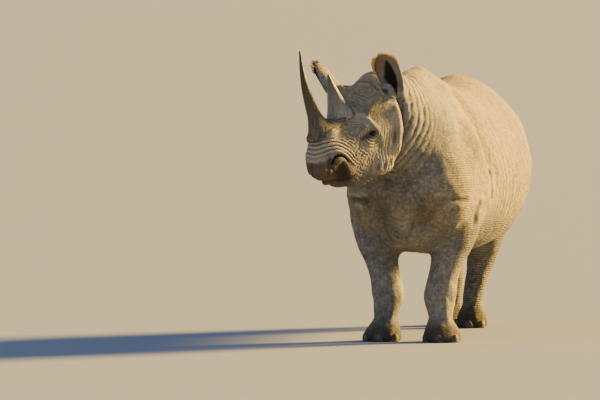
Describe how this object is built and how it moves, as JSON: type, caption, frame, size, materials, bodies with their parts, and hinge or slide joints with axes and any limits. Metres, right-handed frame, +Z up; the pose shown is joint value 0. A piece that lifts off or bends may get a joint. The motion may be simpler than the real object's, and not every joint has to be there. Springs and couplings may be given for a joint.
{
  "type": "black rhinoceros",
  "caption": "Life-size adult black rhinoceros standing square and alert, head raised and turned to its right, horns up, ears pricked, tail hanging.",
  "frame": {"origin": "Middle of the model's bounding box at floor level: the soles stand on z = 0, under the belly.", "axes": "+Z is up. -Y is the way the body faces, from the rump to the chest. +X is the animal's left side. The head is turned 30 degrees to the animal's right."},
  "size_m": [0.9272, 2.7882, 1.6164],
  "materials": {
    "hide": "matte, wrinkled and dusty",
    "ear_skin": "matte",
    "horn": "fibrous and rough at the base, smoother at the tip",
    "eye": "wet gloss",
    "nail": "worn, matte"
  },
  "bodies": {
    "root": {"head": "hide", "neck": "hide", "trunk": "hide", "foreleg_left": "hide", "foreleg_right": "hide", "hind_leg_left": "hide", "hind_leg_right": "hide", "tail": "hide", "ear_left": "ear_skin", "ear_right": "ear_skin", "horn_front": "horn", "horn_rear": "horn", "eye_left": "eye", "eye_right": "eye", "nail_fore_left_1": "nail", "nail_fore_left_2": "nail", "nail_fore_left_3": "nail", "nail_fore_right_1": "nail", "nail_fore_right_2": "nail", "nail_fore_right_3": "nail", "nail_hind_left_1": "nail", "nail_hind_left_2": "nail", "nail_hind_left_3": "nail", "nail_hind_right_1": "nail", "nail_hind_right_2": "nail", "nail_hind_right_3": "nail"}
  },
  "joints": []
}
